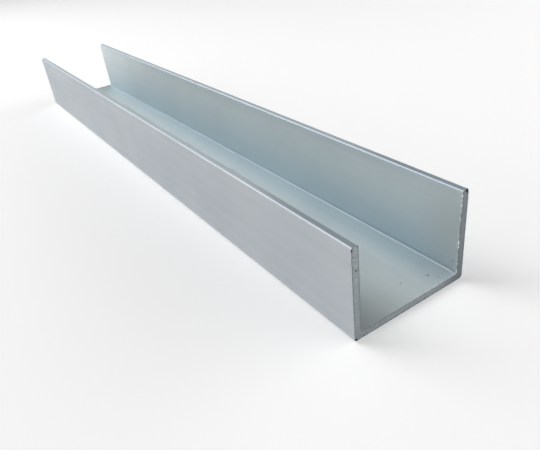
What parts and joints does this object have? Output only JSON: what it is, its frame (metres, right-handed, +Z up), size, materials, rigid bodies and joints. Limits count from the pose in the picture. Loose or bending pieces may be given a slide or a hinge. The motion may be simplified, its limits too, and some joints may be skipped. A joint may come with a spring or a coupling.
{
  "type": "aluminium channel",
  "caption": "Straight equal-flange U channel in mill-finish aluminium, with small radii on its long edges and both ends sawn square.",
  "frame": {"origin": "middle of the web's underside, half way along the length", "axes": "+X along the length, towards the sawn end that the picture shows; +Y across the web; +Z up the flanges, from the web towards the open side"},
  "size_m": [0.5, 0.07, 0.05],
  "materials": {
    "mill_finish": "extruded, satin, as it leaves the mill"
  },
  "bodies": {
    "root": {"channel": "mill_finish"}
  },
  "joints": []
}
